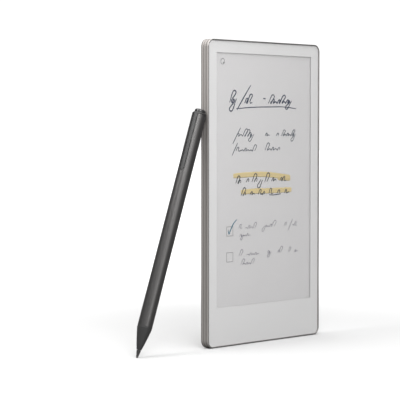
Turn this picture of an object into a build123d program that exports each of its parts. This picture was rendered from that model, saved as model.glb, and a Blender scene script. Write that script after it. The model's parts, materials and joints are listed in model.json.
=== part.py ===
"""Pocket writing tablet with an e-paper page, and the stylus that leans on its side.

The tablet stands on its short bottom edge: X runs along its width, Y through its thickness
with the page facing -Y, and Z up. The origin is the middle of the standing edge.
All lengths are in millimetres.
"""

import os
from math import cos, radians, sin

from build123d import *

# ---- driving dimensions: tablet ----
width = 107.8
height = 195.6
thick = 6.5
corner_radius = 5.0
lip = 0.7  # metal seen round the glass
rim = 2.1  # metal seen round the rear cover
wall = 3.2  # side wall at the level of the battery
seat_gap = 0.06  # round the glass and the rear cover

page_width = 91.0  # part of the page that shows
page_height = 162.0
page_bottom = 25.3

# ---- depths behind the front plane, front to rear ----
glass_front, glass_rear = 0.05, 0.75
mask_rear = 0.85
glass_ledge = 1.05
touch_rear = 1.0
guide_rear = 1.4
panel_rear = 1.9
digitizer_rear = 2.2
plate_rear = 2.7
plate_ledge = 3.3
board_front, board_rear = 3.5, 4.3
cover_ledge = 5.4
cover_front = 5.55
foot_height = 0.6

# ---- port, button and their small boards ----
port_x = -30.0
port_width, port_depth = 8.94, 3.16  # outside of the receptacle's shell
port_length = 7.5
port_sink = 0.3  # from the bottom edge up to its mouth
port_back = 0.8
port_gap = 0.1
shell_wall = 0.3
button_x = 30.0
button_length, button_breadth = 12.6, 2.1
button_proud = 0.2
button_gap = 0.12
button_travel = 0.3

# ---- boards and battery inside ----
board_width, board_low, board_high = 92.0, 22.0, 74.0
battery_width, battery_low, battery_high = 76.0, 82.0, 178.0
battery_front, battery_rear = 2.95, 5.15
screw_radius, screw_head_radius, screw_head = 0.6, 1.25, 0.45
flex = 0.12
port_screw_z, bracket_screw_z = 5.5, height - 5.6
screw_hole, screw_pass = 0.65, 0.9  # radius in the thread, and through a board

# ---- driving dimensions: stylus ----
pen_radius = 4.6
pen_length = 160.5
pen_lean = 20.1  # degrees from upright, towards the tablet
pen_y = 0.3
pen_gap = 0.1  # between the stylus and the tablet's side
pen_bore = 3.6
tongue_turn = 15.0  # degrees that the tongue faces round from the side to the front
tongue_width, tongue_end, tongue_floor = 2.5, 119.8, 4.0
outline_gap = 0.35  # dark line round the tongue
tip_radius = 0.65
nib_end, cone_start, cone_end = 4.7, 5.05, 19.5
barrel_end, collar_start, shoulder, collar_end = 156.9, 157.2, 157.4, 158.3
cap_start, cap_radius = 158.75, 3.5

middle = height / 2
finished = {}


def level(depth):
    """The plane this far behind the front face, with its normal to the front."""
    return Plane.XZ.offset(thick / 2 - depth)


def sheet(front, rear, inset, radius, mode=Mode.ADD):
    """A rounded sheet as wide as the tablet less an inset all round."""
    with BuildSketch(level(rear)) as outline:
        with Locations((0, middle)):
            RectangleRounded(width - 2 * inset, height - 2 * inset, radius)
    extrude(outline.sketch, amount=rear - front, mode=mode)


def block(x, z, size_x, size_z, front, rear, mode=Mode.ADD):
    """A plain block centred on x and z, between two depths."""
    with BuildSketch(level(rear)) as outline:
        with Locations((x, z)):
            Rectangle(size_x, size_z)
    extrude(outline.sketch, amount=rear - front, mode=mode)


def discs(places, radius, front, rear, mode=Mode.ADD):
    """Round posts or holes at these (x, z) places, between two depths."""
    with BuildSketch(level(rear)) as outline:
        with Locations(*places):
            Circle(radius)
    extrude(outline.sketch, amount=rear - front, mode=mode)


def screws(places, head_front, tip_depth):
    """Small flat-headed screws, driven in from the rear."""
    discs(places, screw_head_radius, head_front, head_front + screw_head)
    discs(places, screw_radius, tip_depth, head_front)


def stadium(x, length, breadth, low, high, mode=Mode.ADD):
    """A slot-shaped bar along X, centred in the thickness, between two heights."""
    with BuildSketch(Plane.XY.offset(low)) as outline:
        with Locations((x, 0)):
            SlotOverall(length, breadth)
    extrude(outline.sketch, amount=high - low, mode=mode)


# ================= tablet: case =================

side_grooves = [  # depth of the middle, breadth, cut
    (1.95, 0.45, 0.3),
    (4.0, 0.35, 0.2),
    (5.85, 0.35, 0.2),
]
edge_chamfer = 0.2
boss_x = [port_x - 11, port_x + 11]
bracket_x = [button_x - 10.5, button_x + 10.5]
dock_z, dock_length, dock_breadth, dock_wall = 150.0, 36.0, 3.0, 2.6

with BuildPart() as side_frame:
    sheet(0, thick, 0, corner_radius)
    for face in (side_frame.faces().sort_by(Axis.Y)[0], side_frame.faces().sort_by(Axis.Y)[-1]):
        chamfer(face.edges(), edge_chamfer)
    for depth, breadth, cut in side_grooves:
        with BuildSketch(level(depth + breadth / 2)):
            with Locations((0, middle)):
                RectangleRounded(width + 2, height + 2, corner_radius + 1)
                RectangleRounded(
                    width - 2 * cut, height - 2 * cut, corner_radius - cut, mode=Mode.SUBTRACT
                )
        extrude(amount=breadth, mode=Mode.SUBTRACT)
    sheet(0, glass_ledge, lip, 3.7, Mode.SUBTRACT)
    sheet(glass_ledge, plate_rear, 2.6, 2.6, Mode.SUBTRACT)
    sheet(plate_rear, plate_ledge, 3.8, 1.8, Mode.SUBTRACT)
    sheet(plate_ledge, cover_ledge, wall, 2.2, Mode.SUBTRACT)
    sheet(cover_ledge, thick, rim, 3.0, Mode.SUBTRACT)
    # Bosses for the port board and the button bracket
    for x in boss_x:
        block(x, 5.0, 4.0, 5.0, plate_ledge, 4.83)
    for x in bracket_x:
        block(x, height - 4.9, 4.0, 5.0, plate_ledge, 4.1)
    discs([(x, port_screw_z) for x in boss_x], screw_hole, 3.5, 4.83, Mode.SUBTRACT)
    discs([(x, bracket_screw_z) for x in bracket_x], screw_hole, 3.45, 4.1, Mode.SUBTRACT)
    # The port's slot, and room for its shell through the ledge
    stadium(port_x, port_width + 2 * port_gap, port_depth + 2 * port_gap, -1, 5, Mode.SUBTRACT)
    block(port_x, 3.8, 18.0, 1.4, plate_rear, plate_ledge, Mode.SUBTRACT)
    # The button's slot, and room for its flange
    stadium(
        button_x,
        button_length + 2 * button_gap,
        button_breadth + 2 * button_gap,
        height - wall - 1,
        height + 1,
        Mode.SUBTRACT,
    )
    block(button_x, height - wall - 0.7, 16.0, 1.4, glass_ledge + 0.4, cover_ledge - 0.3,
          Mode.SUBTRACT)
    # The window through which the stylus charges
    with BuildSketch(Plane.YZ.offset(width / 2 - wall - 1)):
        with Locations((0, dock_z)):
            SlotOverall(dock_length, dock_breadth, rotation=90)
    extrude(amount=wall + 2, mode=Mode.SUBTRACT)
finished["side_frame"] = side_frame

with BuildPart() as front_glass:
    sheet(glass_front, glass_rear, lip + seat_gap, 3.7 - seat_gap)
    chamfer(front_glass.faces().sort_by(Axis.Y)[0].edges(), edge_chamfer)
finished["front_glass"] = front_glass

foot_reach = 11.3  # from the side edges to a foot's middle
foot_rise = 11.5  # from the top and bottom edges
foot_radius = 4.5
foot_pocket = 0.4
foot_spots = [
    (side * (width / 2 - foot_reach), z)
    for side in (-1, 1)
    for z in (foot_rise, height - foot_rise)
]

with BuildPart() as rear_cover:
    sheet(cover_front, thick, rim + seat_gap, 3.0 - seat_gap)
    chamfer(rear_cover.faces().sort_by(Axis.Y)[-1].edges(), 0.15)
    discs(foot_spots, foot_radius + 0.03, thick - foot_pocket, thick, Mode.SUBTRACT)
finished["rear_cover"] = rear_cover

with BuildPart() as rear_feet:
    discs(foot_spots, foot_radius, thick - foot_pocket, thick + foot_height)
    outer = rear_feet.faces().filter_by(Axis.Y).group_by(Axis.Y)[-1]
    fillet(outer.edges(), 0.3)
finished["rear_feet"] = rear_feet

with BuildPart() as cover_adhesive:
    sheet(cover_ledge, cover_front, rim + 0.1, 2.9)
    sheet(cover_ledge, cover_front, wall + 0.05, 2.1, Mode.SUBTRACT)
finished["cover_adhesive"] = cover_adhesive

with BuildPart() as dock_window:
    with BuildSketch(Plane.YZ.offset(width / 2 - dock_wall)):
        with Locations((0, dock_z)):
            SlotOverall(dock_length - seat_gap, dock_breadth - seat_gap, rotation=90)
    extrude(amount=dock_wall - 0.05)
finished["dock_window"] = dock_window

# ================= tablet: display stack =================

with BuildPart() as bezel_mask:
    sheet(glass_rear, mask_rear, lip + 0.2, 3.5)
    block(0, page_bottom + page_height / 2, page_width, page_height,
          glass_rear, mask_rear, Mode.SUBTRACT)
finished["bezel_mask"] = bezel_mask

with BuildPart() as display_gasket:
    sheet(mask_rear, glass_ledge, lip + 0.3, 3.4)
    sheet(mask_rear, glass_ledge, 2.5, 2.5, Mode.SUBTRACT)
finished["display_gasket"] = display_gasket

stack = [  # name, width, bottom, top, front, rear
    ("touch_sensor", 100.0, 14.0, 191.0, mask_rear, touch_rear),
    ("light_guide", 97.0, 16.5, 190.0, touch_rear, guide_rear),
    ("epaper_panel", 95.0, 17.0, 189.5, guide_rear, panel_rear),
    ("digitizer_board", 95.0, 19.0, 189.0, panel_rear, digitizer_rear),
]
for name, across, bottom, top, front, rear in stack:
    with BuildPart() as layer:
        block(0, (bottom + top) / 2, across, top - bottom, front, rear)
    finished[name] = layer

with BuildPart() as light_strip:
    block(0, 14.75, 90.0, 3.5, touch_rear, touch_rear + flex)
    with BuildSketch(level(guide_rear)):
        with Locations((0, 15.9)):
            with GridLocations(9.0, 1, 10, 1):
                Rectangle(3.0, 1.2)
    extrude(amount=guide_rear - touch_rear - flex)
finished["light_strip"] = light_strip

flex_x = 13.5
with BuildPart() as display_flex:
    block(flex_x, 14.5, 24.0, 5.0, guide_rear, guide_rear + flex)
    block(flex_x, 12.06, 24.0, flex, guide_rear, 4.75)
    block(flex_x, 19.0, 24.0, 14.0, 4.75 - flex, 4.75)
finished["display_flex"] = display_flex

standoffs = [(x, z) for x in (-42.0, 0.0, 42.0) for z in (board_low + 4, board_high - 4)]
with BuildPart() as mid_plate:
    block(0, 105.0, width - 5.4, 175.8, digitizer_rear, plate_rear)
    fillet(mid_plate.edges().filter_by(Axis.Y).group_by(Axis.Z)[-1], 3.0)
    block(button_x, 190.5, 26.0, 5.0, digitizer_rear, plate_rear, Mode.SUBTRACT)
finished["mid_plate"] = mid_plate

# ================= tablet: main board =================

with BuildPart() as board_standoffs:
    discs(standoffs, 1.7, plate_rear, board_front)
    discs(standoffs, screw_hole, plate_rear + 0.1, board_front, Mode.SUBTRACT)
finished["board_standoffs"] = board_standoffs

with BuildPart() as main_board:
    block(0, (board_low + board_high) / 2, board_width, board_high - board_low,
          board_front, board_rear)
    discs(standoffs, screw_pass, board_front, board_rear, Mode.SUBTRACT)
finished["main_board"] = main_board

with BuildPart() as board_screws:
    screws(standoffs, board_rear, plate_rear + 0.2)
finished["board_screws"] = board_screws

shield_wall, shield_top = 0.15, 5.2
with BuildPart() as shield_can:
    block(-12, 48, 44.0, 32.0, board_rear, shield_top)
    block(-12, 48, 44.0 - 2 * shield_wall, 32.0 - 2 * shield_wall,
          board_rear, shield_top - shield_wall, Mode.SUBTRACT)
finished["shield_can"] = shield_can

with BuildPart() as processor_chip:
    block(-21, 50, 14.0, 14.0, board_rear, 5.0)
finished["processor_chip"] = processor_chip

with BuildPart() as memory_chips:
    block(-3, 54, 12.0, 10.0, board_rear, 5.0)
    block(-3, 41, 13.0, 11.5, board_rear, 4.95)
finished["memory_chips"] = memory_chips

with BuildPart() as power_chip:
    block(24, 44, 7.0, 7.0, board_rear, 5.0)
finished["power_chip"] = power_chip

with BuildPart() as wifi_module:
    block(-41, 52, 8.0, 14.0, board_rear, 5.1)
finished["wifi_module"] = wifi_module

connector_top = 4.63
with BuildPart() as board_connectors:
    block(flex_x, 24.5, 22.0, 3.0, board_rear, connector_top)
    block(port_x, 25.0, 8.0, 3.0, board_rear, 4.71)
    block(20, 71.5, 8.0, 3.5, board_rear, 4.9)
    block(38, 62, 6.0, 3.0, board_rear, 4.9)
finished["board_connectors"] = board_connectors

with BuildPart() as thermal_pad:
    block(-21, 50, 14.0, 14.0, shield_top, cover_front)
finished["thermal_pad"] = thermal_pad

# ================= tablet: battery =================

with BuildPart() as battery_cell:
    block(0, (battery_low + battery_high) / 2, battery_width, battery_high - battery_low,
          battery_front, battery_rear)
    fillet(battery_cell.edges().filter_by(Axis.Y), 1.5)
    fillet(battery_cell.edges().filter_by(Axis.Z), 0.6)
finished["battery_cell"] = battery_cell

with BuildPart() as battery_adhesive:
    for x in (-24.0, 24.0):
        block(x, 130, 14.0, 84.0, plate_rear, battery_front)
finished["battery_adhesive"] = battery_adhesive

with BuildPart() as battery_protection_board:
    block(8, battery_low - 2.2, 50.0, 4.2, 4.1, 4.9)
finished["battery_protection_board"] = battery_protection_board

with BuildPart() as battery_flex:
    block(20, 75.5, 7.0, 10.5, 4.9, 4.9 + flex)
finished["battery_flex"] = battery_flex

# ================= tablet: charging port =================

port_top = port_sink + port_length
tongue_low = 1.4
shell_inner = port_depth - 2 * shell_wall
with BuildPart() as usb_receptacle:
    stadium(port_x, port_width, port_depth, port_sink, port_top)
    stadium(port_x, port_width - 2 * shell_wall, shell_inner, port_sink, port_top - port_back,
            Mode.SUBTRACT)
finished["usb_receptacle"] = usb_receptacle

with BuildPart() as usb_tongue:
    with BuildSketch(Plane.XY.offset(tongue_low)):
        with Locations((port_x, 0)):
            Rectangle(6.7, 0.7)
    extrude(amount=port_top - port_back - tongue_low)
finished["usb_tongue"] = usb_tongue

usb_board_front, usb_board_rear = 4.83, 5.33
head_sink = 0.3  # of the screws' heads into the board
port_screws = [(x, port_screw_z) for x in boss_x]
with BuildPart() as usb_board:
    block(port_x, 9.3, 27.0, 11.0, usb_board_front, usb_board_rear)
    discs(port_screws, screw_pass, usb_board_front, usb_board_rear, Mode.SUBTRACT)
    discs(port_screws, screw_head_radius + 0.2,
          usb_board_rear - head_sink, usb_board_rear, Mode.SUBTRACT)
finished["usb_board"] = usb_board

with BuildPart() as usb_screws:
    screws(port_screws, usb_board_rear - head_sink, 3.7)
finished["usb_screws"] = usb_screws

with BuildPart() as usb_flex:
    block(port_x, 19.0, 7.0, 16.0, usb_board_front - flex, usb_board_front)
finished["usb_flex"] = usb_flex

# ================= tablet: power button =================

flange_top = height - wall - 0.05
with BuildPart() as power_button:
    stadium(button_x, button_length, button_breadth, flange_top, height + button_proud)
    fillet(power_button.faces().sort_by(Axis.Z)[-1].edges(), 0.25)
    stadium(button_x, button_length + 2.0, button_breadth + 0.9, flange_top - 0.6, flange_top)
    stadium(button_x, 3.0, 1.2, flange_top - 1.3, flange_top - 0.6)
finished["power_button"] = power_button

bracket_front, bracket_rear = 4.1, 4.4
bracket_spots = [(x, bracket_screw_z) for x in bracket_x]
switch_top = flange_top - 1.3 - button_travel - 0.1
with BuildPart() as power_switch:
    with BuildSketch(Plane.XY.offset(switch_top - 1.9)):
        with Locations((button_x, 0)):
            Rectangle(5.0, 1.7)
    extrude(amount=1.6)
    stadium(button_x, 2.4, 1.0, switch_top - 0.3, switch_top)
finished["power_switch"] = power_switch

with BuildPart() as switch_bracket:
    block(button_x, height - 6.5, 25.0, 4.2, bracket_front, bracket_rear)
    discs(bracket_spots, screw_pass, bracket_front, bracket_rear, Mode.SUBTRACT)
finished["switch_bracket"] = switch_bracket

with BuildPart() as bracket_screws:
    screws(bracket_spots, bracket_rear, 3.55)
finished["bracket_screws"] = bracket_screws

with BuildPart() as switch_flex:
    block(37.25, 187.5, 18.5, 2.0, bracket_rear, bracket_rear + flex)
    block(45.0, 124.75, 3.0, 127.5, bracket_rear, bracket_rear + flex)
    block(43.75, 62.1, 5.5, 2.2, bracket_rear, bracket_rear + flex)
finished["switch_flex"] = switch_flex

# ================= tablet: radio and magnets =================

cable_radius = 0.4
cable_depth = 4.75
with BuildPart() as wifi_antenna:
    block(-28, 187.0, 26.0, 6.0, plate_rear, cable_depth - cable_radius)
finished["wifi_antenna"] = wifi_antenna

cable_y = cable_depth - thick / 2
cable_route = [
    (-44.6, 59.0), (-44.6, 63.0), (-48.2, 70.0), (-48.2, 180.0), (-43.0, 187.0), (-36.0, 187.0)
]
with BuildPart() as antenna_cable:
    with BuildLine():
        FilletPolyline([(x, cable_y, z) for x, z in cable_route], radius=5.0)
    with BuildSketch(Plane.XY.offset(59.0)):
        with Locations((-44.6, cable_y)):
            Circle(cable_radius)
    sweep()
finished["antenna_cable"] = antenna_cable

with BuildPart() as dock_magnets:
    for z in (120.0, 176.0):
        block(width / 2 - wall - 1.4, z, 2.4, 16.0, plate_ledge, 5.1)
finished["dock_magnets"] = dock_magnets

with BuildPart() as dock_coil:
    block(width / 2 - dock_wall - 0.65, dock_z, 1.2, 30.0, 3.35, 4.7)
    block(width / 2 - dock_wall - 0.65, dock_z, 1.2, 26.0, 3.7, 4.35, Mode.SUBTRACT)
finished["dock_coil"] = dock_coil

with BuildPart() as folio_magnets:
    discs([(-44.0, z) for z in (92.0, 112.0, 132.0, 152.0)], 3.0, plate_rear, 4.7)
    discs([(44.0, 16.0), (38.0, 9.0)], 3.0, plate_ledge, 5.2)
finished["folio_magnets"] = folio_magnets

# ================= stylus =================

lean = radians(pen_lean)
turn = radians(tongue_turn)
tip = Vector(
    -width / 2 - pen_gap - shoulder * sin(lean) - pen_radius * cos(lean),
    pen_y,
    tip_radius - tip_radius * cos(lean),
)
pen_axis = Vector(sin(lean), 0, cos(lean))
sideways = Vector(-cos(lean), 0, sin(lean))  # across the stylus, away from the tablet
tongue_way = sideways * cos(turn) + Vector(0, -1, 0) * sin(turn)

pen_cross = Plane(origin=tip, x_dir=tongue_way, z_dir=pen_axis)
pen_profile = Plane(origin=tip, x_dir=tongue_way, z_dir=tongue_way.cross(pen_axis))
pen_face = Plane(origin=tip, x_dir=pen_cross.y_dir, z_dir=tongue_way)
spin = Axis(tip, pen_axis)


def rod(radius, start, end, mode=Mode.ADD):
    """A round bar on the stylus's axis, between two distances from its tip."""
    with BuildSketch(pen_cross.offset(start)) as outline:
        Circle(radius)
    extrude(outline.sketch, amount=end - start, mode=mode)


def bar(out, across, size_out, size_across, start, end, mode=Mode.ADD):
    """A rectangular bar along the stylus, centred out along the tongue's way and across it."""
    with BuildSketch(pen_cross.offset(start)) as outline:
        with Locations((out, across)):
            Rectangle(size_out, size_across)
    extrude(outline.sketch, amount=end - start, mode=mode)


def long_slot(breadth, end, depth, mode):
    """A bar with a round lower end, on the tongue's side, from the axis outwards."""
    with BuildSketch(pen_face) as outline:
        with Locations((0, (end + pen_length + 10) / 2)):
            SlotOverall(pen_length + 10 - end, breadth, rotation=90)
    extrude(outline.sketch, amount=depth, mode=mode)


with BuildPart() as pen_nib:
    with BuildSketch(pen_profile):
        with BuildLine():
            foot = CenterArc((0, tip_radius), tip_radius, -90, 90)
            Polyline(foot @ 1, (1.32, nib_end - 0.5), (1.32, nib_end), (0.75, nib_end))
            Polyline((0.75, nib_end), (0.75, 21.0), (0, 21.0), (0, 0))
        make_face()
    revolve(axis=spin)
finished["pen_nib"] = pen_nib

with BuildPart() as pen_nib_holder:
    rod(1.3, 17.5, 30.0)
    rod(0.78, 17.5, 21.1, Mode.SUBTRACT)
finished["pen_nib_holder"] = pen_nib_holder

with BuildPart() as pen_front_cone:
    with BuildSketch(pen_profile):
        with BuildLine():
            side = ThreePointArc((1.5, cone_start), (3.25, 12.0), (pen_radius, cone_end - 0.8))
            Polyline(side @ 1, (pen_radius, cone_end - 0.1), (pen_radius - 0.1, cone_end))
            Polyline((pen_radius - 0.1, cone_end), (pen_bore - 0.02, cone_end),
                     (pen_bore - 0.02, 26.0), (2.6, 26.0), (2.6, 15.0), (1.6, 13.0),
                     (1.6, 9.5), (0.82, 9.0), (0.82, cone_start), (1.5, cone_start))
        make_face()
    revolve(axis=spin)
finished["pen_front_cone"] = pen_front_cone

with BuildPart() as tongue_recess:
    rod(pen_radius + 1, tongue_end - 2, pen_length)
    rod(tongue_floor, tongue_end - 2, pen_length, Mode.SUBTRACT)
    long_slot(tongue_width + 2 * outline_gap, tongue_end - outline_gap, pen_radius + 2,
              Mode.INTERSECT)

with BuildPart() as pen_barrel:
    rod(pen_radius, cone_end, barrel_end)
    chamfer(pen_barrel.edges(), 0.1)
    rod(pen_bore, cone_end, barrel_end, Mode.SUBTRACT)
    add(tongue_recess.part, mode=Mode.SUBTRACT)
finished["pen_barrel"] = pen_barrel

with BuildPart() as pen_end_collar:
    rod(pen_radius, tongue_end - 2, shoulder)
    rod(tongue_floor, tongue_end - 2, shoulder, Mode.SUBTRACT)
    long_slot(tongue_width, tongue_end, pen_radius + 2, Mode.INTERSECT)
    with BuildSketch(pen_profile):
        with BuildLine():
            Polyline((2.88, 151.0), (pen_bore - 0.03, 151.0), (pen_bore - 0.03, collar_start),
                     (pen_radius, collar_start), (pen_radius, shoulder))
            RadiusArc((pen_radius, shoulder), (cap_radius + 0.2, collar_end), -1.0)
            Polyline((cap_radius + 0.2, collar_end), (2.88, collar_end), (2.88, 151.0))
        make_face()
    revolve(axis=spin)
finished["pen_end_collar"] = pen_end_collar

with BuildPart() as pen_eraser_cap:
    rod(cap_radius, cap_start, pen_length)
    fillet(pen_eraser_cap.faces().sort_by(Axis.Z)[-1].edges(), 0.8)
    rod(2.8, 149.9, cap_start)
    with BuildSketch(pen_cross.offset(cap_start + 0.45)):
        Circle(cap_radius + 1)
        Circle(cap_radius - 0.15, mode=Mode.SUBTRACT)
    extrude(amount=0.15, mode=Mode.SUBTRACT)
finished["pen_eraser_cap"] = pen_eraser_cap

with BuildPart() as pen_eraser_retainer:
    rod(3.35, 150.35, 150.95)
    rod(2.8, 150.35, 150.95, Mode.SUBTRACT)
finished["pen_eraser_retainer"] = pen_eraser_retainer

# ================= stylus: inside =================

with BuildPart() as pen_force_sensor:
    rod(3.3, 30.4, 34.9)
finished["pen_force_sensor"] = pen_force_sensor

with BuildPart() as pen_chassis:
    rod(pen_bore - 0.08, 35.0, 97.0)
    bar(2.0, 0, 5.2, 8.0, 36.0, 96.0, Mode.SUBTRACT)
finished["pen_chassis"] = pen_chassis

with BuildPart() as pen_circuit_board:
    bar(-0.3, 0, 0.6, 5.6, 36.2, 95.8)
finished["pen_circuit_board"] = pen_circuit_board

with BuildPart() as pen_board_chips:
    for start, across in ((42.0, 3.0), (52.0, 4.0), (66.0, 3.5), (84.0, 2.5)):
        bar(0.4, 0, 0.8, across, start, start + across)
finished["pen_board_chips"] = pen_board_chips

with BuildPart() as pen_battery:
    rod(pen_bore - 0.15, 97.1, 119.0)
finished["pen_battery"] = pen_battery

with BuildPart() as pen_magnet_holder:
    rod(pen_bore - 0.08, 119.1, 149.4)
    bar(2.4, 0, 2.8, 3.4, 121.0, 147.0, Mode.SUBTRACT)
finished["pen_magnet_holder"] = pen_magnet_holder

with BuildPart() as pen_magnets:
    for start in (121.2, 138.0):
        bar(1.95, 0, 1.9, 3.2, start, start + 8.0)
finished["pen_magnets"] = pen_magnets

with BuildPart() as pen_charging_coil:
    bar(1.6, 0, 1.2, 3.2, 129.6, 137.6)
finished["pen_charging_coil"] = pen_charging_coil

with BuildPart() as pen_eraser_sensor:
    bar(2.2, 0, 1.6, 3.2, 146.2, 147.0)
finished["pen_eraser_sensor"] = pen_eraser_sensor

for name, piece in finished.items():
    piece.part.label = name

os.makedirs("parts", exist_ok=True)
for name, piece in finished.items():
    export_step(piece.part, f"parts/{name}.step")
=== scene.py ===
import json
import math
import random

import bpy
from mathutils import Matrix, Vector


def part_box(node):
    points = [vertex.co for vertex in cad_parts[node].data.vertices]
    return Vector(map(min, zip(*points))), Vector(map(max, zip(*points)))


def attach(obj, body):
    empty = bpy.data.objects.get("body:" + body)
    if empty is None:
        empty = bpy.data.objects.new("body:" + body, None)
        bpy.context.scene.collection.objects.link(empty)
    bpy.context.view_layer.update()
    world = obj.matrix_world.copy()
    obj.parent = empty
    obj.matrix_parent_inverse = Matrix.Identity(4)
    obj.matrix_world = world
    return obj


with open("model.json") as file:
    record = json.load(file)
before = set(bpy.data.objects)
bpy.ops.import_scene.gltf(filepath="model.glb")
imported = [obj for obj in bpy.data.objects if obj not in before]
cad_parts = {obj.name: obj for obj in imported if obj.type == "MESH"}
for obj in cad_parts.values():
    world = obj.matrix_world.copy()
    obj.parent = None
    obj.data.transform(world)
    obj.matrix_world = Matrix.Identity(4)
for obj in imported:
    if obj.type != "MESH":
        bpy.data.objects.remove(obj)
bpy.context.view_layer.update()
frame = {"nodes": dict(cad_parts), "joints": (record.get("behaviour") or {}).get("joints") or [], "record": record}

mm = 0.001
scene = bpy.context.scene

# Places that the looks are built from, read off the frame
joints = {joint["name"]: joint for joint in frame["joints"]}
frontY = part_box("side_frame")[0].y
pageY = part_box("epaper_panel")[0].y
penAxis = Vector(joints["nib_press"]["axis"])
penFoot = Vector(joints["stylus_lean"]["pos_m"])
print("frame loaded:", len(frame["nodes"]), "nodes")


# A wire is one socket's value, and an expression on wires adds Math nodes
class Wire:
    def __init__(self, tree, socket):
        self.tree = tree
        self.socket = socket

    def maths(self, operation, first, second=None):
        node = self.tree.nodes.new("ShaderNodeMath")
        node.operation = operation
        for socket, value in zip(node.inputs, (first, second)):
            if isinstance(value, Wire):
                self.tree.links.new(value.socket, socket)
            elif value is not None:
                socket.default_value = value
        return Wire(self.tree, node.outputs[0])

    def __add__(self, other):
        return self.maths("ADD", self, other)

    __radd__ = __add__

    def __mul__(self, other):
        return self.maths("MULTIPLY", self, other)

    __rmul__ = __mul__

    def __sub__(self, other):
        return self.maths("SUBTRACT", self, other)

    def __rsub__(self, other):
        return self.maths("SUBTRACT", other, self)

    def __pow__(self, other):
        return self.maths("POWER", self, other)

    def wave(self):
        return self.maths("SINE", self)

    def size(self):
        return self.maths("ABSOLUTE", self)


class Finish:
    # one material and its nodes
    def __init__(self, name):
        self.material = bpy.data.materials.new(name)
        self.material.use_nodes = True
        self.tree = self.material.node_tree
        self.tree.nodes.clear()
        self.place = self.node("ShaderNodeTexCoord", {}, {}, "Object")

    def node(self, kind, settings, inputs, output=0):
        made = self.tree.nodes.new(kind)
        for name, value in settings.items():
            setattr(made, name, value)
        for name, value in inputs.items():
            if isinstance(value, Wire):
                self.tree.links.new(value.socket, made.inputs[name])
            else:
                made.inputs[name].default_value = value
        return Wire(self.tree, made.outputs[output])

    def noise(self, size, detail=2.0, roughness=0.5, stretch=(1, 1, 1)):
        # cloudy pattern from 0 to 1 whose patches are about this size in metres
        spot = self.node("ShaderNodeMapping", {}, {"Vector": self.place, "Scale": stretch})
        return self.node("ShaderNodeTexNoise", {}, {
            "Vector": spot, "Scale": 1 / size, "Detail": detail, "Roughness": roughness})

    def axis(self, name):
        return self.node("ShaderNodeSeparateXYZ", {}, {"Vector": self.place}, name)

    def along(self, direction, start):
        # distance along a direction from a start point
        moved = self.node("ShaderNodeVectorMath", {"operation": "SUBTRACT"}, {0: self.place, 1: start})
        return self.node("ShaderNodeVectorMath", {"operation": "DOT_PRODUCT"},
                         {0: moved, 1: direction}, "Value")

    def blend(self, value, low, high):
        # 0 below low, 1 above high, smooth between
        return self.node("ShaderNodeMapRange", {"interpolation_type": "SMOOTHSTEP"},
                         {"Value": value, "From Min": low, "From Max": high})

    def band(self, value, middle, half, soft):
        # 1 within half of middle, 0 outside, with soft edges
        return 1 - self.blend((value - middle).size(), half, half + soft)

    def mix(self, share, first, second):
        colours = [(*c, 1) if isinstance(c, tuple) else c for c in (first, second)]
        return self.node("ShaderNodeMix", {"data_type": "RGBA"},
                         {0: share, 6: colours[0], 7: colours[1]}, 2)

    def bump(self, height, depth, strength=1.0):
        return self.node("ShaderNodeBump", {}, {
            "Height": height, "Distance": depth, "Strength": strength})

    def close(self, **sockets):
        names = {"colour": "Base Color", "rough": "Roughness", "metal": "Metallic", "normal": "Normal",
                 "alpha": "Alpha", "coat": "Coat Weight"}
        values = {names[key]: (*value, 1) if isinstance(value, tuple) else value
                  for key, value in sockets.items()}
        self.out(self.node("ShaderNodeBsdfPrincipled", {}, values))
        return self.material

    def out(self, shader):
        surface = self.tree.nodes.new("ShaderNodeOutputMaterial").inputs["Surface"]
        self.tree.links.new(shader.socket, surface)


# Finishes of the tablet's outside
frameLook = {
    "colour": (0.40, 0.375, 0.36), "shade": (0.35, 0.33, 0.315), "edge": (0.46, 0.435, 0.42),
    "paintedGrooveShade": (0.08, 0.075, 0.072), "lipShade": (0.13, 0.13, 0.13), "rough": 0.48, "grain": 0.00012,
    "grooves": ((1.95, 0.225), (4.0, 0.175), (5.85, 0.175)),  # depth and half breadth, mm
    "grooveShade": 0.8, "lip": 0.06, "bevel": 0.5, "metal": 0.45,
}


def frameMetal():
    f = Finish("frameMetal")
    depth = f.axis("Y") - frontY
    cloud = f.noise(0.018, 3)
    grain = f.noise(frameLook["grain"], 3, 0.6)
    colour = f.mix(cloud, frameLook["shade"], frameLook["colour"])
    # painted highlight: the front 0.5 mm bevel of the frame is made lighter, as where it catches the light
    colour = f.mix(f.band(depth, 0, frameLook["bevel"] * mm, 0.1 * mm), colour, frameLook["edge"])
    # painted shade: a thin dark band along the front face of the lip
    colour = f.mix(f.band(depth, 0, frameLook["lip"] * mm, 0.05 * mm), colour, frameLook["lipShade"])
    # painted shade: the grooves and the step near the rear are darkened, standing in for the shade that falls in
    # them
    dark = 0
    for middle, half in frameLook["grooves"]:
        dark = f.band(depth, middle * mm, half * mm, 0.05 * mm) + dark
    colour = f.mix(dark * frameLook["grooveShade"], colour, frameLook["paintedGrooveShade"])
    rough = frameLook["rough"] + grain * 0.12 + dark * 0.25
    return f.close(colour=colour, metal=frameLook["metal"], rough=rough,
                   normal=f.bump(grain, 0.004 * mm, 0.5))


coverLook = {
    "colour": (0.385, 0.352, 0.330), "shade": (0.345, 0.314, 0.294), "fleck": (0.46, 0.43, 0.41),
    "grain": 0.00016, "cloud": 0.035, "metal": 0.35, "rough": 0.52,
}


def coverMetal():
    f = Finish("coverMetal")
    grain = f.noise(coverLook["grain"], 2, 0.55)
    colour = f.mix(f.noise(coverLook["cloud"], 3), coverLook["shade"], coverLook["colour"])
    colour = f.mix(f.blend(grain, 0.58, 0.75) * 0.5, colour, coverLook["fleck"])
    return f.close(colour=colour, metal=coverLook["metal"], rough=coverLook["rough"] + grain * 0.16,
                   normal=f.bump(grain, 0.012 * mm, 0.7))


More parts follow.
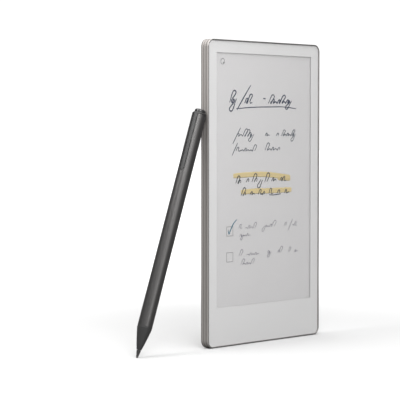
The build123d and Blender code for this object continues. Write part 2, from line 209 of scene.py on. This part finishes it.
def footRubber():
    f = Finish("footRubber")
    grain = f.noise(0.00022, 3, 0.6)
    colour = f.mix(f.noise(0.002, 3), (0.200, 0.168, 0.158), (0.255, 0.215, 0.203))
    return f.close(colour=colour, rough=0.74 + grain * 0.18, normal=f.bump(grain, 0.02 * mm, 0.6))


glassLook = {"rough": 0.19, "straight": 0.035, "grazing": 0.9, "clear": (0.990, 0.988, 0.989, 1),
             "gloss": (0.95, 0.96, 0.96, 1)}


def clearGlass():
    # what is behind shows straight through, and the surface adds a soft etched gloss
    f = Finish("clearGlass")
    etch = f.noise(0.0004, 2)
    clear = f.node("ShaderNodeBsdfTransparent", {}, {"Color": glassLook["clear"]})
    gloss = f.node("ShaderNodeBsdfGlossy", {}, {
        "Color": glassLook["gloss"], "Roughness": glassLook["rough"] + etch * 0.05})
    facing = f.node("ShaderNodeLayerWeight", {}, {"Blend": 0.5}, "Facing")
    share = facing ** 5.0 * glassLook["grazing"] + glassLook["straight"]
    f.out(f.node("ShaderNodeMixShader", {}, {0: share, 1: clear, 2: gloss}))
    return f.material


def clearFilm():
    f = Finish("clearFilm")
    weave = f.noise(0.0006, 2)
    return f.close(colour=(0.95, 0.95, 0.95), alpha=0.012, rough=0.30 + weave * 0.1)


printLook = {"shade": (0.672, 0.670, 0.668), "colour": (0.697, 0.696, 0.694), "speck": (0.55, 0.55, 0.546),
             "inset": 0.03}  # inset into the glass, mm


def bezelPrint():
    f = Finish("bezelPrint")
    grain = f.noise(0.00014, 2)
    colour = f.mix(f.noise(0.03, 2), printLook["shade"], printLook["colour"])
    colour = f.mix(grain * 0.12, colour, printLook["speck"])
    return f.close(colour=colour, rough=0.55 + grain * 0.1)


pageLook = {"paper": (0.668, 0.664, 0.664), "shade": (0.648, 0.644, 0.644), "speck": (0.52, 0.517, 0.517)}


def pageFilm():
    # pale grey e-paper, with the fine salt-and-pepper grain of its capsules
    f = Finish("pageFilm")
    grain = f.noise(0.00012, 2, 0.6)
    colour = f.mix(f.noise(0.028, 2), pageLook["shade"], pageLook["paper"])
    colour = f.mix(f.blend(grain, 0.56, 0.8) * 0.35, colour, pageLook["speck"])
    return f.close(colour=colour, rough=0.86, normal=f.bump(grain, 0.004 * mm, 0.4))


def dockPlastic():
    f = Finish("dockPlastic")
    grain = f.noise(0.0002, 3)
    colour = f.mix(f.noise(0.004, 2), (0.22, 0.205, 0.195), (0.27, 0.25, 0.24))
    return f.close(colour=colour, rough=0.5 + grain * 0.15, normal=f.bump(grain, 0.006 * mm))


def buttonMetal():
    f = Finish("buttonMetal")
    brush = f.noise(0.00012, 3, 0.6, (0.06, 1, 1))
    colour = f.mix(brush, (0.40, 0.375, 0.355), (0.50, 0.475, 0.455))
    return f.close(colour=colour, metal=0.85, rough=0.26 + brush * 0.14, normal=f.bump(brush, 0.003 * mm))


# Finishes of the stylus
penLook = {
    "coat": (0.088, 0.086, 0.085), "coatShade": (0.074, 0.072, 0.071), "metal": 0.88, "rough": 0.36,
    "plastic": (0.030, 0.030, 0.030), "cone": (0.024, 0.024, 0.024), "grain": 0.00014,
    "wear": (0.16, 0.155, 0.15), "wornAt": 20, "wornHalf": 16,  # distance up from the foot, mm
}


def penCoat():
    f = Finish("penCoat")
    grain = f.noise(penLook["grain"], 2, 0.6)
    colour = f.mix(f.noise(0.012, 3), penLook["coatShade"], penLook["coat"])
    reach = f.along(penAxis, penFoot)
    handled = f.band(reach, penLook["wornAt"] * mm, penLook["wornHalf"] * mm, 12 * mm)
    rubbed = handled * f.blend(f.noise(0.004, 4, 0.6), 0.50, 0.72)
    colour = f.mix(rubbed * 0.12, colour, penLook["wear"])
    rough = penLook["rough"] + grain * 0.14 - rubbed * 0.05
    return f.close(colour=colour, metal=penLook["metal"], rough=rough, normal=f.bump(grain, 0.008 * mm, 0.6))


def penPlastic():
    f = Finish("penPlastic")
    grain = f.noise(0.00018, 3, 0.6)
    reach = f.along(penAxis, penFoot)
    colour = f.mix(f.blend(reach, 30 * mm, 60 * mm), penLook["cone"], penLook["plastic"])
    colour = f.mix(f.noise(0.005, 3) * 0.3, colour, (0.065, 0.063, 0.062))
    return f.close(colour=colour, metal=0.15, rough=0.44 + grain * 0.16,
                   normal=f.bump(grain, 0.008 * mm, 0.6))


def nibPlastic():
    # hard felt-like nib, worn paler at its point
    f = Finish("nibPlastic")
    grain = f.noise(0.00012, 3, 0.6)
    reach = f.along(penAxis, penFoot)
    worn = 1 - f.blend(reach, -4.6 * mm, -3.2 * mm)
    colour = f.mix(worn * (0.4 + grain * 0.5), (0.030, 0.030, 0.030), (0.12, 0.118, 0.115))
    return f.close(colour=colour, rough=0.62 + grain * 0.2, normal=f.bump(grain, 0.01 * mm))


def eraserPlastic():
    f = Finish("eraserPlastic")
    grain = f.noise(0.0003, 3)
    colour = f.mix(f.noise(0.002, 2), (0.018, 0.018, 0.018), (0.032, 0.031, 0.031))
    return f.close(colour=colour, rough=0.28 + grain * 0.14, normal=f.bump(grain, 0.004 * mm), coat=0.25)


# Finishes of what is inside
def boardGreen():
    # solder mask over copper traces, which run in steps along and across
    f = Finish("boardGreen")
    along, up = f.axis("X"), f.axis("Z")
    wander = f.noise(0.006, 0)
    trace = f.blend(((along + wander * 0.006) * 5200.0).wave(), 0.55, 0.75)
    cross = f.blend(((up + wander * 0.004) * 4100.0).wave(), 0.6, 0.8)
    lanes = f.blend(f.noise(0.009, 0), 0.46, 0.50)
    copper = trace * lanes + cross * (1 - lanes)
    colour = f.mix(copper * 0.6, (0.012, 0.075, 0.040), (0.045, 0.19, 0.10))
    return f.close(colour=colour, rough=0.34, normal=f.bump(copper, 0.02 * mm, 0.6), coat=0.3)


def amberFlex():
    f = Finish("amberFlex")
    lines = f.blend(((f.axis("X") + f.axis("Z")) * 6000.0).wave(), 0.0, 0.5)
    colour = f.mix(lines, (0.40, 0.16, 0.025), (0.62, 0.29, 0.06))
    return f.close(colour=colour, rough=0.36, normal=f.bump(lines, 0.01 * mm, 0.5))


def lightFlex():
    f = Finish("lightFlex")
    lines = f.blend((f.axis("X") * 2100.0).wave(), 0.2, 0.8)
    colour = f.mix(lines, (0.78, 0.75, 0.60), (0.90, 0.88, 0.78))
    return f.close(colour=colour, rough=0.45 + lines * 0.1)


def brushedMetal(name, dark, light, rough, stretch):
    f = Finish(name)
    brush = f.noise(0.00018, 4, 0.65, stretch)
    colour = f.mix(brush, dark, light)
    return f.close(colour=colour, metal=1.0, rough=rough + brush * 0.16, normal=f.bump(brush, 0.004 * mm))


def chipBlack():
    f = Finish("chipBlack")
    grain = f.noise(0.0001, 2, 0.6)
    colour = f.mix(grain, (0.014, 0.014, 0.015), (0.036, 0.036, 0.038))
    return f.close(colour=colour, rough=0.50 + grain * 0.15, normal=f.bump(grain, 0.006 * mm))


def softPad():
    f = Finish("softPad")
    pores = f.noise(0.0004, 3, 0.7)
    colour = f.mix(pores, (0.27, 0.32, 0.42), (0.36, 0.42, 0.52))
    return f.close(colour=colour, rough=0.9, normal=f.bump(pores, 0.05 * mm, 0.6))


def batteryFoil():
    # wrapped pouch, with faint creases
    f = Finish("batteryFoil")
    creases = f.noise(0.012, 5, 0.6, (1, 1, 0.5))
    grain = f.noise(0.0002, 2)
    colour = f.mix(creases, (0.46, 0.46, 0.47), (0.62, 0.62, 0.63))
    return f.close(colour=colour, metal=0.9, rough=0.32 + grain * 0.12,
                   normal=f.bump(creases, 0.35 * mm, 0.35))


def cableBlack():
    f = Finish("cableBlack")
    grain = f.noise(0.0004, 2)
    return f.close(colour=f.mix(grain, (0.012, 0.012, 0.012), (0.03, 0.03, 0.03)), rough=0.4 + grain * 0.2)


def blackFoam():
    f = Finish("blackFoam")
    pores = f.node("ShaderNodeTexVoronoi", {}, {"Vector": f.place, "Scale": 4500.0}, "Distance")
    colour = f.mix(pores, (0.010, 0.010, 0.010), (0.035, 0.035, 0.035))
    return f.close(colour=colour, rough=0.92, normal=f.bump(pores, 0.05 * mm, 0.7))


def copperWire():
    # turns of fine enamelled wire, side by side
    f = Finish("copperWire")
    turns = f.blend((f.axis("Y") * 22000.0 + f.axis("X") * 9000.0).wave(), -0.6, 0.8)
    colour = f.mix(turns, (0.30, 0.10, 0.035), (0.80, 0.40, 0.20))
    return f.close(colour=colour, metal=0.9, rough=0.30, normal=f.bump(turns, 0.04 * mm, 0.7))


def carrierPlastic():
    f = Finish("carrierPlastic")
    grain = f.noise(0.0003, 3)
    colour = f.mix(grain, (0.030, 0.030, 0.033), (0.055, 0.055, 0.060))
    return f.close(colour=colour, rough=0.5 + grain * 0.2, normal=f.bump(grain, 0.01 * mm))


finishes = {
    "frame_metal": frameMetal(), "clear_glass": clearGlass(), "cover_metal": coverMetal(),
    "foot_rubber": footRubber(), "black_adhesive": blackFoam(), "radio_plastic": dockPlastic(),
    "bezel_print": bezelPrint(), "clear_film": clearFilm(), "page_film": pageFilm(),
    "light_flex": lightFlex(), "board_green": boardGreen(), "amber_flex": amberFlex(),
    "plate_metal": brushedMetal("plateMetal", (0.46, 0.46, 0.46), (0.60, 0.60, 0.60), 0.30, (1, 1, 0.03)),
    "bright_steel": brushedMetal("brightSteel", (0.42, 0.42, 0.42), (0.60, 0.60, 0.59), 0.24, (0.2, 1, 1)),
    "chip_black": chipBlack(), "soft_pad": softPad(), "battery_foil": batteryFoil(),
    "cable_black": cableBlack(),
    "magnet_plate": brushedMetal("magnetPlate", (0.52, 0.51, 0.49), (0.64, 0.63, 0.60), 0.16, (1, 1, 1)),
    "copper_wire": copperWire(), "button_metal": buttonMetal(), "pen_coat": penCoat(),
    "pen_plastic": penPlastic(), "nib_plastic": nibPlastic(), "eraser_plastic": eraserPlastic(),
    "carrier_plastic": carrierPlastic(),
}
for part in frame["record"]["subparts"]:
    piece = frame["nodes"][part["node"]]
    piece.data.materials.clear()
    piece.data.materials.append(finishes[part["material_slot"]])
print("finishes on every node:", len(finishes))


# The border's print as it shows, set just inside the glass, clear of the plane of the glass's rear face
def makeBorderPrint():
    mesh = frame["nodes"]["bezel_mask"].data.copy()
    mesh.name = "borderPrint"
    for vertex in mesh.vertices:
        vertex.co.y -= printLook["inset"] * mm
    piece = bpy.data.objects.new("borderPrint", mesh)
    scene.collection.objects.link(piece)
    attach(piece, "tablet")


makeBorderPrint()


# Inks on the page
def inkFinish(name, dark, light, rough=0.75):
    f = Finish(name)
    flow = f.noise(0.0011, 3, 0.6)
    return f.close(colour=f.mix(flow, dark, light), rough=rough)


inks = {
    "title": inkFinish("titleInk", (0.006, 0.014, 0.045), (0.022, 0.036, 0.078)),
    "note": inkFinish("noteInk", (0.030, 0.042, 0.066), (0.066, 0.080, 0.108)),
    "bold": inkFinish("boldInk", (0.030, 0.034, 0.040), (0.075, 0.080, 0.085)),
    "pencil": inkFinish("pencilInk", (0.125, 0.120, 0.155), (0.20, 0.195, 0.235)),
    "marker": inkFinish("markerInk", (0.635, 0.510, 0.235), (0.70, 0.580, 0.31)),
    "tick": inkFinish("tickInk", (0.055, 0.150, 0.215), (0.115, 0.235, 0.305)),
    "grey": inkFinish("greyInk", (0.16, 0.165, 0.17), (0.22, 0.225, 0.23)),
}


# Each line of ink is a smooth path, and one node tree gives it its breadth
def strokeTree():
    tree = bpy.data.node_groups.new("inkStroke", "GeometryNodeTree")
    kinds = {"Strokes": "NodeSocketGeometry", "Ink": "NodeSocketMaterial"}
    for name in ("Strokes", "Breadth", "Flatness", "Plane", "Step", "Pressure", "Taper", "Ink"):
        tree.interface.new_socket(name, in_out="INPUT", socket_type=kinds.get(name, "NodeSocketFloat"))
    tree.interface.new_socket("Mesh", in_out="OUTPUT", socket_type="NodeSocketGeometry")
    given = tree.nodes.new("NodeGroupInput").outputs

    def step(kind, settings, links, output=0):
        made = tree.nodes.new(kind)
        for name, value in settings.items():
            setattr(made, name, value)
        for name, value in links.items():
            if isinstance(value, bpy.types.NodeSocket):
                tree.links.new(value, made.inputs[name])
            elif isinstance(value, Wire):
                tree.links.new(value.socket, made.inputs[name])
            else:
                made.inputs[name].default_value = value
        return made.outputs[output]

    line = step("GeometryNodeResampleCurve", {"mode": "LENGTH"}, {
        "Curve": given["Strokes"], "Length": given["Step"]})
    share = Wire(tree, step("GeometryNodeSplineParameter", {}, {}))
    ends = (share * (1 - share) * 4.0 + 0.0001) ** Wire(tree, given["Taper"])
    press = Wire(tree, step("ShaderNodeTexNoise", {"noise_dimensions": "3D"}, {
        "Vector": step("GeometryNodeInputPosition", {}, {}), "Scale": 420.0, "Detail": 1.0}))
    pressed = 1 + (press - 0.5) * Wire(tree, given["Pressure"])
    radius = Wire(tree, given["Breadth"]) * 0.5 * pressed * ends
    circle = step("GeometryNodeCurvePrimitiveCircle", {"mode": "RADIUS"}, {"Resolution": 8, "Radius": 1.0})
    tube = step("GeometryNodeCurveToMesh", {}, {
        "Curve": line, "Profile Curve": circle, "Scale": radius, "Fill Caps": True})
    spot = step("GeometryNodeInputPosition", {}, {})
    split = tree.nodes.new("ShaderNodeSeparateXYZ")
    tree.links.new(spot, split.inputs[0])
    plane = Wire(tree, given["Plane"])
    flat = plane + (Wire(tree, split.outputs["Y"]) - plane) * Wire(tree, given["Flatness"])
    moved = step("ShaderNodeCombineXYZ", {}, {"X": split.outputs["X"], "Y": flat, "Z": split.outputs["Z"]})
    laid = step("GeometryNodeSetPosition", {}, {"Geometry": tube, "Position": moved})
    smooth = step("GeometryNodeSetShadeSmooth", {}, {"Geometry": laid})
    real = step("GeometryNodeRealizeInstances", {}, {"Geometry": smooth})
    inked = step("GeometryNodeSetMaterial", {}, {"Geometry": real, "Material": given["Ink"]})
    tree.links.new(inked, tree.nodes.new("NodeGroupOutput").inputs[0])
    return tree


inkTree = strokeTree()


def meshOf(source, name):
    # the evaluated shape as a plain mesh of its own, and the source is removed
    bpy.context.view_layer.update()
    seen = source.evaluated_get(bpy.context.evaluated_depsgraph_get())
    mesh = bpy.data.meshes.new_from_object(seen)
    mesh.name = name
    made = bpy.data.objects.new(name, mesh)
    scene.collection.objects.link(made)
    bpy.data.objects.remove(source)
    return made


def inkPiece(name, paths, ink, breadth, thick=0.016, depth=0.020, step=0.22, pressure=0.5, taper=0.12,
             smooth=True, closed=False):
    # paths are lists of (x, z) in millimetres on the page, and the piece lies just on its front
    curve = bpy.data.curves.new(name, "CURVE")
    curve.dimensions = "3D"
    for path in paths:
        spline = curve.splines.new("BEZIER")
        spline.bezier_points.add(len(path) - 1)
        for point, (x, z) in zip(spline.bezier_points, path):
            point.co = (x * mm, pageY - depth * mm, z * mm)
            point.handle_left_type = point.handle_right_type = "AUTO" if smooth else "VECTOR"
        spline.use_cyclic_u = closed
    source = bpy.data.objects.new(name + "Path", curve)
    scene.collection.objects.link(source)
    modifier = source.modifiers.new("ink", "NODES")
    modifier.node_group = inkTree
    values = {"Breadth": breadth * mm, "Flatness": thick / breadth, "Plane": pageY - depth * mm,
              "Step": step * mm, "Pressure": pressure, "Taper": taper, "Ink": inks[ink]}
    for item in inkTree.interface.items_tree:
        if item.in_out == "INPUT" and item.name in values:
            modifier[item.identifier] = values[item.name]
    piece = meshOf(source, name)
    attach(piece, "tablet")


# Moves of a hurried hand, in units of the small waves' height: x before slanting, then height.
# They are waves, peaks and dips, not letters or figures: v is a wave, r a ripple, t a tall peak,
# p a peak with a flat foot, j a deep dip, s a long slash, and a space lifts the pen.
penMoves = {
    "v": ((0.00, 0.10), (0.20, 0.95), (0.36, 0.12)),
    "r": ((0.00, 0.28), (0.22, 0.50), (0.42, 0.22)),
    "t": ((0.00, 0.10), (0.22, 2.00), (0.36, 0.10)),
    "p": ((0.00, 0.15), (0.20, 1.45), (0.42, 0.20), (0.70, 0.30)),
    "j": ((0.00, 0.70), (0.06, -1.25), (0.34, 0.65)),
    "s": ((0.10, 2.60), (0.05, 1.00), (0.00, -0.70)),
    "-": ((0.05, 0.62), (0.35, 0.66), (0.62, 0.64)),
}


def written(moves, x, z, height, slant=0.55, rise=0.0, spread=1.0, seed=1):
    # the paths of one line of scribble that starts at x, z
    shake = random.Random(seed)
    paths, path, cursor = [], [], 0.0
    for move in moves:
        if move == " ":
            paths.append(path)
            path, cursor = [], cursor + 0.55 * spread
            continue
        for across, up in penMoves[move]:
            up = up * shake.uniform(0.86, 1.12)
            run = (cursor + across * spread) * height
            path.append((x + run + up * height * slant + shake.uniform(-0.04, 0.04) * height,
                         z + run * rise + up * height))
        cursor += penMoves[move][-1][0] * spread + 0.10
    paths.append(path)
    return [p for p in paths if len(p) > 2]


# Each piece of writing: its ink, breadth, and lines given by moves, start, small height and spread
pageWriting = {
    "titleStrokes": {"ink": "title", "breadth": 0.88, "lines": (
        dict(moves="tj", x=-33.4, z=155.4, height=4.1, spread=1.7, seed=3),
        dict(moves="s", x=-24.0, z=154.0, height=4.75, slant=0.78, seed=6),
        dict(moves="vp", x=-19.4, z=155.0, height=4.2, spread=1.5, seed=8),
        dict(moves="-", x=-3.0, z=156.0, height=4.6, seed=9),
        dict(moves="tvrvtrvj", x=3.4, z=155.4, height=2.7, spread=2.5, slant=0.8, rise=0.02, seed=12),
    )},
    "noteStrokes": {"ink": "note", "breadth": 0.64, "lines": (
        dict(moves="s", x=-28.6, z=131.6, height=3.5, slant=0.68, seed=21),
        dict(moves="vrttvj", x=-27.0, z=134.0, height=2.3, spread=2.9, slant=0.75, seed=22),
        dict(moves="vr", x=0.4, z=134.2, height=2.0, spread=2.8, seed=23),
        dict(moves="v trvrtj", x=11.2, z=134.2, height=2.2, spread=2.5, slant=0.7, seed=24),
        dict(moves="s", x=-29.6, z=123.6, height=2.8, slant=0.62, seed=28),
        dict(moves="prvrrt", x=-27.4, z=124.4, height=2.1, spread=3.0, seed=26),
        dict(moves="trvrv", x=0.4, z=124.8, height=2.2, spread=3.2, seed=27),
    )},
    "boldStrokes": {"ink": "bold", "breadth": 0.74, "lines": (
        dict(moves="tv", x=-27.4, z=103.8, height=2.5, spread=2.4, slant=0.5, seed=31),
        dict(moves="v tv j", x=-17.6, z=104.4, height=2.5, spread=2.3, slant=0.6, seed=32),
        dict(moves="t", x=0.2, z=104.0, height=2.8, spread=2.2, slant=0.5, seed=34),
        dict(moves="vr vp", x=6.8, z=104.6, height=2.3, spread=2.5, seed=35),
        dict(moves="tv", x=-22.6, z=95.8, height=2.3, spread=2.3, slant=0.6, seed=36),
        dict(moves="vr pv", x=-14.0, z=96.0, height=2.3, spread=2.4, seed=37),
        dict(moves="p", x=4.2, z=96.2, height=2.6, spread=2.4, slant=0.4, seed=38),
        dict(moves="v", x=12.4, z=96.4, height=2.8, spread=2.2, seed=39),
        dict(moves="pr", x=19.6, z=96.4, height=2.0, spread=2.1, seed=40),
    )},
    "pencilStrokes": {"ink": "pencil", "breadth": 0.44, "lines": (
        dict(moves="p", x=-24.6, z=74.6, height=2.2, spread=2.0, seed=41),
        dict(moves="rvrt", x=-18.8, z=74.4, height=2.0, spread=2.9, seed=51),
        dict(moves="jrvt", x=-0.6, z=74.6, height=2.1, spread=3.0, slant=0.7, seed=43),
        dict(moves="v", x=19.6, z=74.8, height=2.2, spread=2.0, seed=44),
        dict(moves="s", x=24.4, z=73.2, height=2.1, slant=0.6, seed=52),
        dict(moves="rp", x=27.4, z=74.4, height=1.9, spread=2.2, seed=53),
        dict(moves="vjrvr", x=-23.8, z=69.6, height=1.7, spread=3.0, seed=45),
        dict(moves="t", x=-24.4, z=57.0, height=2.0, spread=2.6, slant=0.6, seed=46),
        dict(moves="rvrvr", x=-17.4, z=57.0, height=1.9, spread=3.1, seed=54),
        dict(moves="vj", x=2.6, z=57.4, height=2.0, spread=2.4, slant=0.7, seed=47),
        dict(moves="vt", x=13.0, z=57.2, height=1.9, spread=2.0, seed=48),
        dict(moves="t", x=23.6, z=57.2, height=1.9, spread=1.8, seed=49),
        dict(moves="vr", x=29.6, z=56.8, height=1.9, spread=2.2, seed=55),
        dict(moves="trvrt", x=-22.8, z=51.2, height=1.8, spread=3.1, slant=0.7, seed=50),
    )},
}
for name, look in pageWriting.items():
    paths = [path for line in look["lines"] for path in written(**line)]
    inkPiece(name, paths, look["ink"], look["breadth"])

# Underlines, highlighter bands, check boxes, the tick and the round corner mark
underlineLook = {
    "breadth": 0.66, "word": ((4.6, 95.9), (9.0, 95.7), (16.4, 96.3)),
    "title": ((-26.9, 151.9), (-12.0, 152.9), (6.0, 153.4), (20.0, 153.5), (31.4, 152.5)),
}
inkPiece("underlines", (underlineLook["title"], underlineLook["word"]), "title", underlineLook["breadth"])

bandLook = {
    "breadth": 3.5, "endBreadth": 2.9, "upperEnd": ((13.0, 106.6), (20.0, 106.4), (25.8, 106.0)),
    "upper": ((-29.6, 108.9), (-16.0, 109.4), (0.0, 109.4), (14.0, 108.2), (25.6, 107.0)),
    "lower": ((-22.4, 98.3), (-10.0, 98.7), (6.0, 98.6), (18.0, 98.7), (27.0, 98.8)),
}
inkPiece("highlightBands", (bandLook["upper"], bandLook["lower"]), "marker", bandLook["breadth"],
         thick=0.008, depth=0.008, pressure=0.35, taper=0.06, step=0.5)
inkPiece("highlightEnd", (bandLook["upperEnd"],), "marker", bandLook["endBreadth"],
         thick=0.006, depth=0.006, pressure=0.3, taper=0.1, step=0.5)

boxLook = {"x": -32.8, "heights": (73.5, 56.9), "half": 2.95, "breadth": 0.34}
boxCorners = ((-1, -1), (1, -1), (1, 1), (-1, 1))
boxPaths = [[(boxLook["x"] + across * boxLook["half"], z + up * boxLook["half"]) for across, up in boxCorners]
            for z in boxLook["heights"]]
inkPiece("checkBoxes", boxPaths, "grey", boxLook["breadth"], smooth=False, closed=True, taper=0.0,
         pressure=0.0, step=0.05)

tickLook = {"breadth": 0.95, "path": ((-34.3, 74.6), (-33.9, 73.0), (-33.4, 71.9), (-33.0, 72.6),
                                      (-31.2, 75.6), (-28.6, 79.0), (-26.0, 80.9))}
inkPiece("tickMark", (tickLook["path"],), "tick", tickLook["breadth"], depth=0.028, taper=0.3)

cornerMark = {"x": -39.4, "z": 181.7, "radius": 1.75, "breadth": 0.42,
              "dotAside": 0.75, "dotRadius": 0.28, "dotBreadth": 0.5}


def ring(x, z, radius, count):
    turns = [2 * math.pi * n / count for n in range(count)]
    return [(x + radius * math.cos(t), z + radius * math.sin(t)) for t in turns]


inkPiece("cornerRing", (ring(cornerMark["x"], cornerMark["z"], cornerMark["radius"], 14),), "grey",
         cornerMark["breadth"], closed=True, taper=0.0, pressure=0.0, step=0.2)
dotPath = ring(cornerMark["x"] + cornerMark["dotAside"], cornerMark["z"] - cornerMark["dotAside"],
               cornerMark["dotRadius"], 8)
inkPiece("cornerDot", (dotPath,), "grey", cornerMark["dotBreadth"],
         closed=True, taper=0.0, pressure=0.0, step=0.1)
print("page written")


# Floor and light
stageLook = {"near": 0.50, "far": 0.93, "bounce": 0.20, "fade": (0.12, 0.55), "reach": 9.0}


def paleFloor():
    # a little brighter far off, so that it meets the background, and darker in what it throws back
    f = Finish("paleFloor")
    away = f.node("ShaderNodeVectorMath", {"operation": "LENGTH"}, {0: f.place}, "Value")
    shade = f.blend(away, *stageLook["fade"]) * (stageLook["far"] - stageLook["near"]) + stageLook["near"]
    seen = f.node("ShaderNodeLightPath", {}, {}, "Is Camera Ray")
    shade = seen * (shade - stageLook["bounce"]) + stageLook["bounce"]
    f.out(f.node("ShaderNodeBsdfDiffuse", {}, {"Color": f.node("ShaderNodeCombineColor", {}, {
        "Red": shade, "Green": shade, "Blue": shade})}))
    return f.material


def makeFloor():
    half = stageLook["reach"]
    mesh = bpy.data.meshes.new("floor")
    corners = [(-half, -half, 0), (half, -half, 0), (half, half, 0), (-half, half, 0)]
    mesh.from_pydata(corners, [], [(0, 1, 2, 3)])
    mesh.materials.append(paleFloor())
    floor = bpy.data.objects.new("floor", mesh)
    floor.location.z = -0.05 * mm
    scene.collection.objects.link(floor)


makeFloor()

lightLook = {
    "seen": 1.1, "world": 0.32, "top": {"energy": 4.0, "spread": 80},
    "key": {"energy": 1.3, "size": 0.20, "place": (-0.30, -0.32, 0.40), "aim": (0.0, 0.0, 0.10)},
    "side": {"energy": 0.62, "size": 0.14, "place": (-0.30, 0.06, 0.36), "aim": (-0.05, 0.0, 0.15)},
    "strip": {"energy": 2.5, "size": (0.14, 0.5), "place": (-0.28, -0.92, 0.22), "aim": (-0.08, 0.0, 0.08)},
}


def makeWorld():
    world = bpy.data.worlds.new("studio")
    scene.world = world
    world.use_nodes = True
    tree = world.node_tree
    tree.nodes.clear()
    out = tree.nodes.new("ShaderNodeOutputWorld")
    seen, lit = tree.nodes.new("ShaderNodeBackground"), tree.nodes.new("ShaderNodeBackground")
    seen.inputs["Strength"].default_value = lightLook["seen"]
    lit.inputs["Strength"].default_value = lightLook["world"]
    mix, path = tree.nodes.new("ShaderNodeMixShader"), tree.nodes.new("ShaderNodeLightPath")
    for background in (seen, lit):
        background.inputs["Color"].default_value = (1, 1, 1, 1)
    tree.links.new(path.outputs["Is Camera Ray"], mix.inputs[0])
    tree.links.new(lit.outputs[0], mix.inputs[1])
    tree.links.new(seen.outputs[0], mix.inputs[2])
    tree.links.new(mix.outputs[0], out.inputs["Surface"])


def makeArea(name, look):
    data = bpy.data.lights.new(name, "AREA")
    data.energy = look["energy"]
    if isinstance(look["size"], tuple):
        data.shape = "RECTANGLE"
        data.size, data.size_y = look["size"]
    else:
        data.shape = "DISK"
        data.size = look["size"]
    lamp = bpy.data.objects.new(name, data)
    lamp.location = look["place"]
    lamp.rotation_euler = (Vector(look["aim"]) - Vector(look["place"])).to_track_quat("-Z", "Y").to_euler()
    scene.collection.objects.link(lamp)


def makeTop():
    data = bpy.data.lights.new("topLight", "SUN")
    data.energy = lightLook["top"]["energy"]
    data.angle = math.radians(lightLook["top"]["spread"])
    scene.collection.objects.link(bpy.data.objects.new("topLight", data))


makeWorld()
makeTop()
makeArea("keyLight", lightLook["key"])
makeArea("sideLight", lightLook["side"])
makeArea("stripLight", lightLook["strip"])
scene.view_settings.view_transform = "Standard"
scene.cycles.transparent_max_bounces = 32  # the page is seen and lit through glass and two clear films


# Camera
cameraLook = {"place": (-0.77159, -0.70021, 0.13582), "turn": 44.459, "dip": 2.379, "lens": 143.35}


def makeCamera():
    data = bpy.data.cameras.new("camera")
    data.lens = cameraLook["lens"]
    data.clip_start, data.clip_end = 0.05, 50
    camera = bpy.data.objects.new("camera", data)
    turn, dip = math.radians(cameraLook["turn"]), math.radians(cameraLook["dip"])
    ahead = Vector((math.cos(turn) * math.cos(dip), math.sin(turn) * math.cos(dip), -math.sin(dip)))
    camera.location = cameraLook["place"]
    camera.rotation_euler = ahead.to_track_quat("-Z", "Y").to_euler()
    scene.collection.objects.link(camera)
    scene.camera = camera


makeCamera()
print("floor, lights and camera placed")
